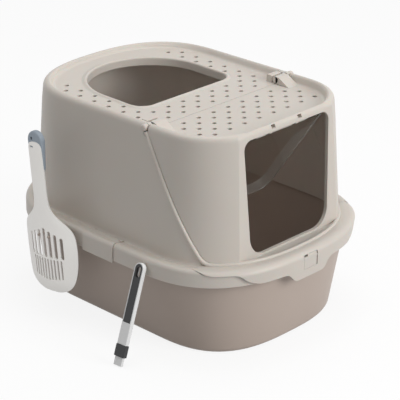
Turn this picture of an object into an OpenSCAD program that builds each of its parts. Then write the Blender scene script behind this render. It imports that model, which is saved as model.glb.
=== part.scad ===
// Top entry litter box: a deep pan, a hood with a perforated top and an entry hole,
// a front hood that tilts up on two hinge pins, a clear flap, clips, a scoop and a brush.
// Front is -Y, the origin is the centre of the pan's base, and the floor is z = 0.

/* [Pan] */
// Half width of the pan's base
pan_base_a = 171; // [165:1:176]
// Half width of the pan under the rim
pan_top_a = 194; // [188:1:198]
// Depth of each rounded end of the base
pan_base_b = 150.5; // [146:0.5:154]
// Depth of each rounded end under the rim
pan_top_b = 168; // [164:1:171]
// Height of the pan
pan_h = 157; // [156:0.5:157]
// Half width of the dip in the pan's front edge
dip_a = 150; // [146:1:152]
// Height of that dip
dip_z = 148; // [147:0.5:149]
// Distance from the rim band's face in to the edge of the pan's flange
flange_inset = 12; // [8:1:14]

/* [Rim] */
// Half width of the rim band
rim_a = 217; // [216:1:220]
// Depth of the rim band's rounded ends
rim_b = 182; // [181:1:184]
// Depth of the rim band's back end
rim_back_b = 176; // [174:1:178]
// Length of straight side from the middle to the front end
straight_y = 100; // [98:1:102]
// Lower edge of the rim band
rim_low_z = 138; // [137:1:140]

/* [Hood] */
// Half width of the hood at its rim top
hood_top_a = 178; // [176:1:180]
// Half width of the hood at the ledge
hood_low_a = 189; // [187:1:191]
// Depth of the front end at the top
hood_top_bf = 125; // [123:1:127]
// Depth of the front end at the ledge
hood_low_bf = 144.5; // [142:0.5:146]
// Depth of the back end at the top
hood_top_bb = 147; // [145:1:149]
// Depth of the back end at the ledge
hood_low_bb = 158; // [155:1:160]
// Height of the perforated plate's upper face
plate_z = 364; // [362:1:366]
// Height of the raised lip at the back
lip_back_z = 374.5; // [373:0.5:376]
// Height of the raised lip at the front
lip_front_z = 380; // [378:1:381]
// Wall thickness of the mouldings
wall = 2.6; // [2.4:0.1:2.8]

/* [Perforation] */
// Hole pitch across the plate
pitch = 35; // [34:0.5:36]
// Hole diameter
hole_d = 7.6; // [6:0.2:9]

/* [Entry hole] */
// Radius of the entry hole
entry_r = 110; // [106:1:111]
// Middle of the entry hole's round end
entry_y = 82; // [80:1:84]
// Front edge of the entry hole
entry_front_y = -5; // [-7:1:-3]
// Radius of its front corners
entry_corner_r = 26; // [18:1:34]

/* [Front opening] */
// Half width at the top
door_top_a = 103.5; // [100:0.5:105]
// Half width at the bottom
door_low_a = 94.5; // [92:0.5:96]
// Upper edge
door_top_z = 366.5; // [365:0.5:367]
// Lower edge
door_low_z = 168; // [167:0.5:172]

/* [Flap] */
// Angle that the flap stands at, inward from straight down
flap_rest = 34; // [30:1:38]
// Length of the flap below its hinge
flap_len = 208; // [200:1:211]
// Half width of the flap
flap_a = 100; // [98:1:101]

/* [Hinge] */
// Front hood's hinge line, across the top
hinge_y = -79; // [-80:0.5:-78]
// Height of that hinge line
hinge_z = 371.5; // [371:0.5:372]
// Slope of the side seam: forward travel for each millimetre down
seam_slope = 0.6; // [0.57:0.01:0.63]

/* [Scoop and brush] */
// Lean of the hanging scoop, toward the front at its foot
scoop_lean = 7.2; // [6.8:0.1:7.6]
// Length of the scoop
scoop_len = 284; // [275:1:290]
// Length of the cleaning brush
brush_len = 172; // [168:1:174]

/* [Hidden] */

beige = [0.84, 0.80, 0.76];
taupe = [0.68, 0.64, 0.61];
off_white = [0.89, 0.87, 0.84];
blue_grey = [0.52, 0.56, 0.60];
near_black = [0.12, 0.12, 0.13];

facets = 88;
gap = 0.5;
running = 0.05;

// Superellipse powers of the ends, as measured on the object
pan_n = 2.85;
pan_back_n = 2.6;
rim_n = 2.58;
rim_back_n = 2.35;
front_n = 2.4;
back_n = 2.5;
hood_front_y = -120;
hood_back_y = 96;

ledge_under_z = pan_h + 0.3;
ledge_z = 162;
front_foot_z = 163.2;
shelf_z = 165.6;
panel_top_y = -226.2;
panel_slope = 0.073;
seam_top_z = 374;
foot_step = -0.4;
front_rows_y = -96.3;
rear_rows_y = -61.2;
hinge_pin_r = 3;
knuckle_r = 6;
flap_y = -216;
flap_z = 363;
flap_axle_r = 1.8;
flap_knuckle_r = 3.6;
clip_pin_r = 1.5;
clip_x = rim_a - 21;
clip_z = 164.4;
clip_low_y = -47;
clip_high_y = 24;
latch_a = 15.5;
latch_y = -284.3;
latch_z = 153;
latch_pin_r = 1.2;
latch_lug_a = 21;
scoop_x = -219.2;
scoop_foot_y = 79;
scoop_foot_z = 46;
handle_top = scoop_len - 18;
blade_r = 125;
blade_bulge = 25;
slot_pitch = 12;
hang_u = 6.5;
hang_v = 271;
grip_low = 200;
scoop_peg_r = 2;
brush_foot = [-288.2, -128, 3];
brush_tilt = 21.4;
brush_w = 20;
brush_t = 8;

function power(v, e) = sign(v) * pow(abs(v), e);
function mix(lo, hi, t) = lo + (hi - lo) * t;

// A closed outline: straight sides with a superellipse at each end
function outline(a, front_y, front_b, front_n, back_y, back_b, back_n) = [
    for (i = [0:facets - 1])
        let (t = (i + 0.5) * 360 / facets, n = sin(t) < 0 ? front_n : back_n)
        [a * power(cos(t), 2 / n),
         sin(t) < 0 ? front_y + front_b * power(sin(t), 2 / n)
                    : back_y + back_b * power(sin(t), 2 / n)]];

function lifted(points, z) = [for (p = points) [p[0], p[1], z]];

function pan_ring(z, inset) =
    let (t = z / rim_low_z, a = mix(pan_base_a, pan_top_a, t) - inset,
         b = mix(pan_base_b, pan_top_b, t) - inset)
    lifted(outline(a, -straight_y, b, pan_n, hood_back_y, b, pan_back_n), z);

function rim_ring(z, inset) =
    lifted(outline(rim_a - inset, -straight_y, rim_b - inset, rim_n,
        hood_back_y, rim_back_b - inset, rim_back_n), z);

function hood_outline(z, inset) =
    let (t = (lip_back_z - z) / (lip_back_z - ledge_z))
    outline(mix(hood_top_a, hood_low_a, t) - inset,
        hood_front_y, mix(hood_top_bf, hood_low_bf, t) - inset, front_n,
        hood_back_y, mix(hood_top_bb, hood_low_bb, t) - inset, back_n);

function hood_ring(z, inset) = lifted(hood_outline(z, inset), z);

// The lip rises in a straight line from the back to the front panel
function lip_z(y) = mix(lip_back_z, lip_front_z, (hood_back_y - y) / (hood_back_y - panel_top_y));
function lip_ring(drop, inset) = [
    for (p = hood_outline(lip_back_z, inset)) [p[0], p[1], lip_z(p[1]) - drop]];

// Solid between rings of equal point counts, lowest ring first
module loft(rings) {
    n = len(rings[0]);
    last = len(rings) - 1;
    polyhedron(
        points = [for (r = rings) each r],
        faces = concat(
            [[for (i = [0:n - 1]) i]],
            [[for (i = [n - 1:-1:0]) last * n + i]],
            [for (k = [0:last - 1]) for (i = [0:n - 1])
                let (j = (i + 1) % n)
                each [[k * n + j, k * n + i, (k + 1) * n + i],
                      [k * n + j, (k + 1) * n + i, (k + 1) * n + j]]]));
}

// Closed band whose section is a polygon of [inset, z] points, going round the rim outline
module rim_sweep(section) {
    n = facets;
    m = len(section);
    polyhedron(
        points = [for (s = section) each rim_ring(s[1], s[0])],
        faces = [for (k = [0:m - 1]) for (i = [0:n - 1])
            let (j = (i + 1) % n, l = (k + 1) % m)
            each [[k * n + j, k * n + i, l * n + i],
                  [k * n + j, l * n + i, l * n + j]]]);
}

// Prism along X over a polygon of [y, z] points
module along_x(points, half) {
    translate([-half, 0, 0]) rotate([90, 0, 90]) linear_extrude(2 * half) polygon(points);
}

// Prism along Y over a polygon of [x, z] points, from y0 to y1
module along_y(points, y0, y1) {
    translate([0, y1, 0]) rotate([90, 0, 0]) linear_extrude(y1 - y0) polygon(points);
}

module rod_x(x0, x1, y, z, r) {
    translate([x0, y, z]) rotate([0, 90, 0]) cylinder(r = r, h = x1 - x0, $fn = 48);
}

module rod_y(y0, y1, x, z, r) {
    translate([x, y0, z]) rotate([-90, 0, 0]) cylinder(r = r, h = y1 - y0, $fn = 48);
}

module litter_pan() color(taupe) difference() {
    union() {
        loft([pan_ring(0, 7), pan_ring(1.2, 3.6), pan_ring(4, 1.2), pan_ring(9, 0),
            pan_ring(rim_low_z, 0), pan_ring(pan_h - 0.01, 0)]);
        loft([rim_ring(pan_h - 3, flange_inset), rim_ring(pan_h, flange_inset)]);
    }
    loft([pan_ring(wall, 13), pan_ring(wall + 5, 5), pan_ring(wall + 12, wall),
        pan_ring(pan_h + 1, wall)]);
    // the front edge dips to clear the apron
    translate([-dip_a, -300, dip_z]) cube([2 * dip_a, 62, 20]);
}

// Hood solid with a rounded lip on top, hollow inside, with the dished plate across it
module hood_solid() {
    loft([hood_ring(ledge_z - 3, 0), hood_ring(plate_z - 6, 0), lip_ring(12, 0.1),
        lip_ring(6.5, 1), lip_ring(2.8, 3), lip_ring(0.8, 6), lip_ring(0, 9.5)]);
}

module hood_hollow() {
    loft([hood_ring(ledge_z - 8, wall), hood_ring(plate_z - wall - 4, wall),
        hood_ring(plate_z - wall, wall + 3)]);
}

// Room inside the lip, open downward, between its outer and inner walls
module lip_hollow() {
    difference() {
        loft([hood_ring(plate_z - wall - 5, wall), lip_ring(6, wall + 0.4), lip_ring(wall, wall + 3)]);
        loft([hood_ring(plate_z - wall - 6, 13.4), hood_ring(plate_z + 1, 13.2),
            lip_ring(4, 11), lip_ring(-2, 10)]);
    }
}

module top_dish(front_y) {
    intersection() {
        loft([hood_ring(plate_z, 16.5), hood_ring(plate_z + 3, 14.5), lip_ring(2.5, 13.4),
            lip_ring(0.6, 11.6), lip_ring(-3, 11)]);
        along_x([[front_y + 14, plate_z - 1], [300, plate_z - 1], [300, lip_front_z + 9],
            [front_y - 3, lip_front_z + 9], [front_y - 2, lip_front_z - 3]], 200);
    }
}

// Rows of holes: u counts half pitches across, v counts half pitches back from the first row
module hole_at(u, first_y, v) {
    translate([u * pitch / 2, first_y + v * pitch / 2 * 0.984, plate_z - wall - 1])
        cylinder(d = hole_d, h = wall + 2, $fn = 24);
}

function seam_y(z) = hinge_y - seam_slope * (seam_top_z - z);

module rear_holes() {
    for (u = [-6:2:6]) hole_at(u, rear_rows_y, 0);
    for (u = [-7:2:7]) hole_at(u, rear_rows_y, 1);
    for (u = [-8:2:8]) hole_at(u, rear_rows_y, 2);
    for (side = [-1, 1]) {
        for (v = [3:2:13]) hole_at(7 * side, rear_rows_y, v);
        for (v = [4:2:12]) hole_at(8 * side, rear_rows_y, v);
    }
}

module front_holes() {
    for (u = [-6:2:6]) hole_at(u, front_rows_y, 0);
    for (row = [1, 3]) for (u = [-7:2:7]) hole_at(u, front_rows_y, -row);
    for (row = [2, 4]) for (u = [-8:2:8]) hole_at(u, front_rows_y, -row);
}

module entry_shape(grow) {
    r = entry_r + grow;
    c = entry_corner_r;
    intersection() {
        translate([0, entry_y]) circle(r = r, $fn = 96);
        translate([-r, entry_y - 1]) square([2 * r, r + 2]);
    }
    translate([-r, entry_front_y - grow + c]) square([2 * r, entry_y - entry_front_y + grow - c]);
    translate([-r + c, entry_front_y - grow]) square([2 * (r - c), c + 1]);
    for (side = [-1, 1]) translate([side * (r - c), entry_front_y - grow + c])
        circle(r = c, $fn = 48);
}

// Section of the rim: skirt, rounded shoulder and a ledge that falls toward the hood
rim_section = [[0, rim_low_z], [0, 160], [1, 164], [3.4, 167], [7.5, 168], [12, 167.2],
    [30, ledge_z - 0.4], [36, ledge_z - 0.4], [36, ledge_under_z], [wall, ledge_under_z],
    [wall, rim_low_z]];

// Room that the front hood's apron takes on the rim, with its gap
apron_room = [[-14, 110], [-14, 190], [70, 190], [70, front_foot_z - gap],
    [19, front_foot_z - gap], [12, 163.6], [6, 162.6], [2.6, 160.4], [1, 157.6], [-0.4, 155],
    [-0.4, 110]];
apron_section = [[-5, 112], [-5, 155], [-3.8, 159.6], [-1, 163.6], [4, 166.4], [11, 167.6],
    [18, 166.8], [28, 165], [28, front_foot_z + 0.1], [12, 164.8], [5, 163.6], [1, 161],
    [-1.4, 157.8], [-2.4, 154], [-2.4, 112]];

// Edge of the apron seen from the front: a step at each side and a tongue in the middle
function apron_edge(g) = [
    [-190 - g, 190], [-190 - g, 161.4 - g], [-150 - g, 160.2 - g], [-141 - g, 158 - g],
    [-134 - g, 151 - g], [-127 - g, 146 - g], [-119 - g, 143.6 - g], [-114 - g, rim_low_z - g],
    [-54 - g, rim_low_z - g], [-47 - g, 135 - g], [-41 - g, 127 - g], [-36 - g, 122.5 - g],
    [-29 - g, 121 - g]];
function mirrored(points) = [for (i = [len(points) - 1:-1:0]) [-points[i][0], points[i][1]]];
function apron_outline(g) = concat(apron_edge(g), mirrored(apron_edge(g)));

// Section of a side clip over the rim, as [distance from the middle, z]
clip_outer = [[rim_a + 2.3, 135.6], [rim_a + 2.3, 160], [rim_a + 1.4, 164.4],
    [rim_a - 1, 167.4], [rim_a - 4.6, 168.9], [rim_a - 9, 169], [clip_x, 167.2]];
clip_inner = [[clip_x, 164.8], [rim_a - 9, 166.4], [rim_a - 4.8, 166.3],
    [rim_a - 2, 165.2], [rim_a - 0.6, 163.2], [rim_a - 0.1, 160], [rim_a - 0.1, 135.6]];
clip_room = [[rim_a + 9, 130], [rim_a + 9, 175], [clip_x - 4.5, 175], [clip_x - 4.5, 161.2],
    [clip_x, 160.6], [rim_a - 9, 163.6], [rim_a - 5, 163.4], [rim_a - 2.4, 162],
    [rim_a - 0.8, 159], [rim_a - 0.8, 130]];

module clip_pockets() {
    for (side = [0, 1]) mirror([side, 0, 0])
        along_y([for (p = clip_room) [-p[0], p[1]]], clip_low_y - gap, clip_high_y + gap);
}

module clip_lugs() {
    for (side = [-1, 1]) for (y = [clip_low_y + 2.5, clip_high_y - 2.5])
        translate([side * clip_x - 2.9, y - 2, ledge_z - 2]) cube([5.8, 4, 7.4]);
}

// Ears that hold the two hinge pins, and the blocks behind the front hood's bosses
module hinge_ears() {
    for (side = [0, 1]) mirror([side, 0, 0]) {
        rod_x(164, 171, hinge_y, hinge_z, knuckle_r);
        translate([164, hinge_y, hinge_z - 5.2]) cube([7, 17, 10.4]);
        translate([138, hinge_y + 8.4, plate_z - 1]) cube([24.6, 12, hinge_z + 5 - plate_z + 1]);
    }
}

// Everything ahead of the seam, as [y, z]: the front hood's side of the cut
rear_seam = [[seam_y(ledge_z - 20) + 3.8, ledge_z - 20], [seam_y(357) + 3.8, 356.4],
    [hinge_y + 0.4, 360.4], [hinge_y + 0.4, plate_z + 2], [hinge_y + 3.6, hinge_z],
    [hinge_y + 3.6, 400], [-400, 400], [-400, ledge_z - 20]];

module rear_hood() color(beige) difference() {
    union() {
        difference() {
            hood_solid();
            hood_hollow();
            lip_hollow();
            top_dish(-400);
            along_x(rear_seam, 230);
        }
        translate([0, 0, plate_z - wall - 11]) linear_extrude(wall + 11) entry_shape(wall);
        rim_band();
        hinge_ears();
        clip_lugs();
    }
    rear_holes();
    translate([0, 0, plate_z - 30]) linear_extrude(60) entry_shape(0);
    for (side = [-1, 1]) {
        rod_x(side > 0 ? 160 : -171.4, side > 0 ? 171.4 : -160, hinge_y, hinge_z,
            hinge_pin_r + running);
        rod_x(side > 0 ? 171.2 : -190, side > 0 ? 190 : -171.2, hinge_y, hinge_z, knuckle_r + 0.6);
        rod_y(clip_low_y - 1, clip_high_y + 1, side * clip_x, clip_z, clip_pin_r + running);
    }
}

module rim_band() difference() {
    rim_sweep(rim_section);
    clip_pockets();
    intersection() {
        rim_sweep(apron_room);
        along_y(apron_outline(0.6), -320, -199);
    }
}

module front_hood() color(beige) difference() {
    union() {
        difference() {
            intersection() {
                hood_solid();
                front_space();
            }
            intersection() {
                hood_hollow();
                along_x([[panel_y(100) + wall, 100], [100, 100], [100, plate_z],
                    [panel_y(plate_z) + wall, plate_z]], 230);
            }
            // the lip is hollow along its sides, and along the front behind the panel
            intersection() {
                lip_hollow();
                along_x([[-190, plate_z - 9], [-96, plate_z - 9], [-96, 390], [-190, 390]], 230);
            }
            along_x([[panel_top_y + wall, plate_z - 5], [-206.3, plate_z - wall - 0.01],
                [-222.4, lip_front_z - 4.6], [panel_top_y + wall + 0.4, lip_front_z - 4.6]], 108);
            top_dish(panel_top_y + 8);
        }
        front_foot();
        side_beads();
        hinge_bosses();
        flap_hangers();
        latch_lugs();
    }
    front_holes();
    door_cut();
    latch_cut();
    for (side = [-1, 1]) {
        rod_x(side > 0 ? 130 : -163, side > 0 ? 163 : -130, hinge_y, hinge_z,
            hinge_pin_r + running);
        translate([side * 32, panel_top_y + 6.6, lip_front_z - 9])
            cylinder(d = 9, h = 14, $fn = 4);
    }
    rod_x(-70, 70, flap_y, flap_z, flap_axle_r + running);
    rod_x(-latch_lug_a - 1, latch_lug_a + 1, latch_y, latch_z, latch_pin_r + running);
}

function panel_y(z) = panel_top_y - panel_slope * (plate_z - z);

// Space of the front hood: behind the flat panel, ahead of the seam, above the ledge
module front_space() {
    along_x([[panel_y(front_foot_z), front_foot_z], [seam_y(front_foot_z) + 3.2, front_foot_z],
        [seam_y(357) + 3.2, 357], [hinge_y - 0.4, 361], [hinge_y - 0.4, plate_z + 0.6],
        [hinge_y - 8.6, plate_z + 1.4], [hinge_y - 8.6, 392], [panel_y(392), 392]], 230);
}

// Shelf in front of the panel and the apron that laps over the rim
module front_foot() {
    intersection() {
        loft([hood_ring(front_foot_z, foot_step), hood_ring(front_foot_z + 1.4, -3.4),
            hood_ring(shelf_z - 0.6, -3.4), hood_ring(shelf_z, -2.6)]);
        along_x([[-320, 100], [panel_y(front_foot_z) + wall, 100],
            [panel_y(front_foot_z) + wall, 200], [-320, 200]], 230);
    }
    bead_ring();
    intersection() {
        rim_sweep(apron_section);
        along_y(apron_outline(0), -320, -202.4);
    }
}

// Raised bead round the front, where the apron meets the body
module bead_ring() intersection() {
    difference() {
        loft([hood_ring(front_foot_z, foot_step), hood_ring(front_foot_z + 1.4, -3.6),
            hood_ring(167.2, -3.6), hood_ring(169, -2.6),
            hood_ring(169.8, -0.8)]);
        loft([hood_ring(front_foot_z - 1, 2.2), hood_ring(167.6, 2.2), hood_ring(169.9, 1.2)]);
    }
    along_x([[-320, 150], [seam_y(150) + 3.2, 150], [seam_y(190) + 3.2, 190], [-320, 190]], 230);
}

// Half-round bead down each side seam, standing on the hood's outer face
module side_beads() {
    bead_r = 3;
    steps = 14;
    turn = atan(seam_slope);
    for (side = [-1, 1]) {
        path = [for (k = [0:steps]) let (z = mix(hinge_z - 8, front_foot_z + 2, k / steps),
                y = seam_y(z), f = max(0, hood_front_y - y),
                t = (lip_back_z - z) / (lip_back_z - ledge_z),
                a = mix(hood_top_a, hood_low_a, t), b = mix(hood_top_bf, hood_low_bf, t))
            [side * a * pow(1 - pow(f / b, front_n), 1 / front_n), y, z]];
        loft([for (p = [for (k = [steps:-1:0]) path[k]]) [for (i = [0:9])
            let (u = bead_r * cos(36 * i), v = bead_r * sin(36 * i))
            [p[0] + u, p[1] + v * cos(turn), p[2] + v * sin(turn) * 0.3]]]);
    }
}

// Bosses that turn on the hinge pins, each running forward into a ramp
module hinge_bosses() {
    for (side = [0, 1]) mirror([side, 0, 0]) {
        rod_x(137, 161.6, hinge_y, hinge_z, knuckle_r);
        translate([149.3, 0, 0]) along_x([[hinge_y, hinge_z + knuckle_r - 0.3],
            [hinge_y - 9, hinge_z + knuckle_r - 0.6], [hinge_y - 30, plate_z - 1],
            [hinge_y - 0.4, plate_z - 1],
            [hinge_y - 0.4, hinge_z - knuckle_r + 0.3], [hinge_y, hinge_z - knuckle_r + 0.3]], 12.3);
    }
}

module flap_hangers() {
    for (side = [-1, 1]) translate([side * 32 - 3, 0, 0]) {
        rod_x(0, 6, flap_y, flap_z, 4);
        translate([3, 0, 0]) along_x([[flap_y - 4, flap_z], [flap_y + 4, flap_z],
            [flap_y + 4, flap_z + 4], [flap_y - 4, 374], [flap_y - 7.8, 376],
            [flap_y - 7.8, 368]], 3);
    }
}

// Points of an arc round [x, z]
function arc(x, z, r, from, to) = [for (k = [0:10])
    let (t = mix(from, to, k / 10)) [x + r * cos(t), z + r * sin(t)]];

// Opening in the front panel, a trapezoid with small upper and large lower corners
module door_cut() {
    side_turn = atan((door_top_a - door_low_a) / (door_top_z - door_low_z));
    right = concat(
        arc(door_low_a - 32.5, door_low_z + 34, 34, -90, -side_turn),
        arc(door_top_a - 16.7, door_top_z - 16, 16, -side_turn, 90));
    along_y(concat(right, mirrored(right)), -252, panel_top_y + wall + 0.8);
}

module latch_cut() {
    translate([-latch_a - gap, -300, 134]) cube([2 * (latch_a + gap), 40, 27]);
}

// Lugs behind the apron that carry the latch pin
module latch_lugs() {
    for (side = [0, 1]) mirror([side, 0, 0])
        rod_x(latch_a + gap, latch_lug_a, latch_y, latch_z, 2.3);
}

module hinge_pin(side) {
    mirror([side > 0 ? 0 : 1, 0, 0]) {
        rod_x(137.6, 171.8, hinge_y, hinge_z, hinge_pin_r);
        rod_x(171.6, 181, hinge_y, hinge_z, knuckle_r);
    }
}

module left_hinge_pin() color(beige) hinge_pin(-1);
module right_hinge_pin() color(beige) hinge_pin(1);

module flap_face(inset, low) {
    r = 24 - inset;
    top = -6 - inset;
    translate([-flap_a + inset, -flap_len + r + inset])
        square([2 * (flap_a - inset), flap_len - r - inset + top]);
    translate([-flap_a + 24, -flap_len + inset]) square([2 * (flap_a - 24), r + 1]);
    for (side = [-1, 1]) translate([side * (flap_a - 24), -flap_len + 24])
        circle(r = r, $fn = 48);
}

// Clear sheet with a rib round its sides and foot, and knuckles on the axle
module flap() color([0.85, 0.85, 0.84, 0.45])
    translate([0, flap_y, flap_z]) rotate([flap_rest, 0, 0]) difference() {
        union() {
            translate([0, 1, 0]) rotate([90, 0, 0]) linear_extrude(2) flap_face(0);
            intersection() {
                translate([0, 17, 0]) rotate([90, 0, 0]) linear_extrude(17) difference() {
                    flap_face(0);
                    flap_face(2.2);
                    translate([-flap_a - 1, -10]) square([2 * flap_a + 2, 20]);
                }
                along_x([[-2, -6], [2, -6], [2, -30], [17, -80], [17, -260], [-2, -260]], 120);
            }
            translate([-70, 17, -flap_len]) rotate([90, 0, 0]) linear_extrude(16)
                square([140, 2.2]);
            for (x = [-60, -27, 37]) rod_x(x, x + (x == -27 ? 54 : 23), 0, 0, flap_knuckle_r);
            for (x = [-60, -27, 37]) translate([x, -1, -8]) cube([x == -27 ? 54 : 23, 2, 6]);
        }
        for (side = [-1, 1]) translate([side * 32 - 4.4, -4, -13]) cube([8.8, 8, 20]);
        rod_x(-100, 100, 0, 0, flap_axle_r + running);
    }

module flap_axle() color(off_white) rod_x(-61, 61, flap_y, flap_z, flap_axle_r);

module side_clip(side) difference() {
    union() {
        along_y([for (p = concat(clip_outer, clip_inner)) [side * p[0], p[1]]],
            clip_low_y, clip_high_y);
        rod_y(clip_low_y + 5.2, clip_high_y - 5.2, side * clip_x, clip_z, 2.8);
    }
    rod_y(clip_low_y - 1, clip_high_y + 1, side * clip_x, clip_z, clip_pin_r + running);
    for (y = [clip_low_y + 2.5, clip_high_y - 2.5])
        translate([side * clip_x - 4.4, y - 2.6, clip_z - 6]) cube([8.8, 5.2, 12]);
}

module left_side_clip() color(beige) side_clip(-1);
module right_side_clip() color(beige) side_clip(1);
module left_clip_pin() color(beige)
    rod_y(clip_low_y + 0.8, clip_high_y - 0.8, -clip_x, clip_z, clip_pin_r);
module right_clip_pin() color(beige)
    rod_y(clip_low_y + 0.8, clip_high_y - 0.8, clip_x, clip_z, clip_pin_r);

// Press tab in the middle of the tongue, on a short pin behind its upper edge
module front_latch() color(beige) difference() {
    union() {
        intersection() {
            rim_sweep(apron_section);
            translate([-latch_a, -300, 134.6]) cube([2 * latch_a, 40, 25.8]);
        }
        rod_x(-latch_a, latch_a, latch_y, latch_z, 2.3);
    }
    rod_x(-20, 20, latch_y, latch_z, latch_pin_r + running);
}

module front_latch_pin() color(beige)
    rod_x(-latch_lug_a + 0.3, latch_lug_a - 0.3, latch_y, latch_z, latch_pin_r);

// Frame of the hanging scoop: z along its length from the foot, -x away from the box
module scoop_frame() {
    translate([scoop_x, scoop_foot_y, scoop_foot_z]) rotate([-scoop_lean, 0, 0]) children();
}

blade_half = [[0, 19], [4, 35], [12, 48], [26, 57], [50, 61.8], [84, 63], [104, 61.5],
    [120, 54], [130, 42], [138, 30.5], [148, 21.5], [160, 17.5]];
blade_points = concat([for (p = blade_half) [p[1], p[0]]],
    [for (i = [len(blade_half) - 1:-1:0]) [-blade_half[i][1], blade_half[i][0]]]);

module scoop_plate(points) {
    rotate([90, 0, 90]) translate([0, 0, -40]) linear_extrude(80) polygon(points);
}

module scoop_blade() color(off_white) scoop_frame() difference() {
    union() {
        intersection() {
            translate([blade_r - blade_bulge, 0, -10]) difference() {
                cylinder(r = blade_r, h = 200, $fn = 96);
                translate([0, 0, -1]) cylinder(r = blade_r - 2.4, h = 202, $fn = 96);
            }
            scoop_plate(blade_points);
        }
        translate([-blade_bulge, -16.5, 150]) cube([3.4, 33, handle_top - 150 - 9]);
        translate([-blade_bulge, -7.5, 160]) cube([3.4, 15, handle_top - 160]);
        for (u = [-7.5, 7.5]) translate([-blade_bulge, u, handle_top - 9]) rotate([0, 90, 0])
            cylinder(r = 9, h = 3.4, $fn = 48);
    }
    for (k = [-3:3]) blade_slot(k * slot_pitch, 66, 112 - abs(k) * 4.6, 5.8);
    for (k = [-4.5:4.5]) blade_slot(k * 7.2, 23 + abs(k), 59, 3);
}

module blade_slot(u, v0, v1, w) {
    translate([-60, u - w / 2, v0]) cube([120, w, v1 - v0]);
    for (v = [v0, v1]) translate([-60, u, v]) rotate([0, 90, 0])
        cylinder(d = w, h = 120, $fn = 24);
}

module scoop_grip() color(blue_grey) scoop_frame() difference() {
    union() {
        translate([3.4 - blade_bulge, -17.5, grip_low]) cube([9, 35, scoop_len - grip_low - 17.5]);
        translate([3.4 - blade_bulge, 0, scoop_len - 17.5]) rotate([0, 90, 0])
            cylinder(r = 17.5, h = 9, $fn = 64);
    }
    translate([-60, hang_u, hang_v]) rotate([0, 90, 0]) cylinder(d = 5, h = 80, $fn = 32);
}

// Plate on the rim band with two pegs that stand in the blade's middle slots
module scoop_hook() color(beige) {
    peg_v = 101;
    peg_y = scoop_foot_y + peg_v * sin(scoop_lean);
    peg_z = scoop_foot_z + peg_v * cos(scoop_lean);
    translate([-rim_a - 2.6, peg_y - 15, rim_low_z + 1]) cube([2.6, 30, 21]);
    for (u = [-slot_pitch, slot_pitch])
        translate([-rim_a - 1, peg_y + u, peg_z - u * sin(scoop_lean)])
            rotate([0, -90, 0]) cylinder(r = scoop_peg_r, h = 28, $fn = 32);
}

// Frame of the leaning brush: z along its length from the foot
module brush_frame() {
    translate(brush_foot) rotate([-3, brush_tilt, 0]) children();
}

module brush_slab(z0, z1, grow) {
    translate([-grow, -brush_w / 2 - grow, z0])
        cube([brush_t + 2 * grow, brush_w + 2 * grow, z1 - z0]);
}

module brush_body() color(off_white) brush_frame() difference() {
    union() {
        brush_slab(35, brush_len - 10, 0);
        translate([0, 0, brush_len - 10]) rotate([0, 90, 0])
            cylinder(r = brush_w / 2, h = brush_t, $fn = 48);
    }
    translate([-1, -brush_w / 2 + 2, 72]) cube([brush_t - 2, brush_w - 4, brush_len - 82]);
    translate([-1, 0, brush_len - 10]) rotate([0, 90, 0])
        cylinder(r = brush_w / 2 - 2, h = brush_t - 2, $fn = 48);
    translate([-1, 0, brush_len - 12]) rotate([0, 90, 0]) cylinder(r = 3.4, h = 20, $fn = 32);
}

module brush_insert() color(near_black) brush_frame() difference() {
    union() {
        translate([0.6, -brush_w / 2 + 2, 72]) cube([brush_t - 3.6, brush_w - 4, brush_len - 82]);
        translate([0.6, 0, brush_len - 10]) rotate([0, 90, 0])
            cylinder(r = brush_w / 2 - 2, h = brush_t - 3.6, $fn = 48);
    }
    translate([-1, 0, brush_len - 12]) rotate([0, 90, 0]) cylinder(r = 3.4, h = 20, $fn = 32);
}

module brush_band() color(near_black) brush_frame() brush_slab(15, 35, 0.6);

module brush_tip() color(off_white) brush_frame() brush_slab(0.2, 15, -1.4);

litter_pan();
rear_hood();
front_hood();
left_hinge_pin();
right_hinge_pin();
flap();
flap_axle();
left_side_clip();
right_side_clip();
left_clip_pin();
right_clip_pin();
front_latch();
front_latch_pin();
scoop_hook();
scoop_blade();
scoop_grip();
brush_body();
brush_insert();
brush_band();
brush_tip();
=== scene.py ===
import math

import bmesh
import bpy
from mathutils import Matrix, Vector


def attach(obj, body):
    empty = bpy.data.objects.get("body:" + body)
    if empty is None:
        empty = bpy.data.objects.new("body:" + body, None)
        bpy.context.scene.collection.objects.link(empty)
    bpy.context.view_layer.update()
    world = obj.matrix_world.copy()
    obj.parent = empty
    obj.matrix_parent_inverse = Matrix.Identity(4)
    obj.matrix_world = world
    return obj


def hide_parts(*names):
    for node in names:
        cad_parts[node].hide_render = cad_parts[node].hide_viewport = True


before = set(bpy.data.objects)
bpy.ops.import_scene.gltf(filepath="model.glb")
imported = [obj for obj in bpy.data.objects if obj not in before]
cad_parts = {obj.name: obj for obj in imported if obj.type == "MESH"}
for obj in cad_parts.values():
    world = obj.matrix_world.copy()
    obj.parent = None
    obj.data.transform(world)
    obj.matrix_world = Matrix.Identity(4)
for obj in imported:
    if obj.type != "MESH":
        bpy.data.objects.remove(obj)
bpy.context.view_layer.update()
print("frame loaded:", len(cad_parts), "nodes")

# Pieces are in millimetres with the front at -Y, and are scaled to metres when they are made.
# The floor and the lights are in metres.
toMetres = 0.001

camera = {
    "target": (-306.6, -325.0, 364.0),
    "distance": 2591.75,
    "azimuth": -46.74,
    "elevation": 24.03,
    "roll": 0.888,
    "lens": 160.27,
    "sensor": 36,
}

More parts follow.
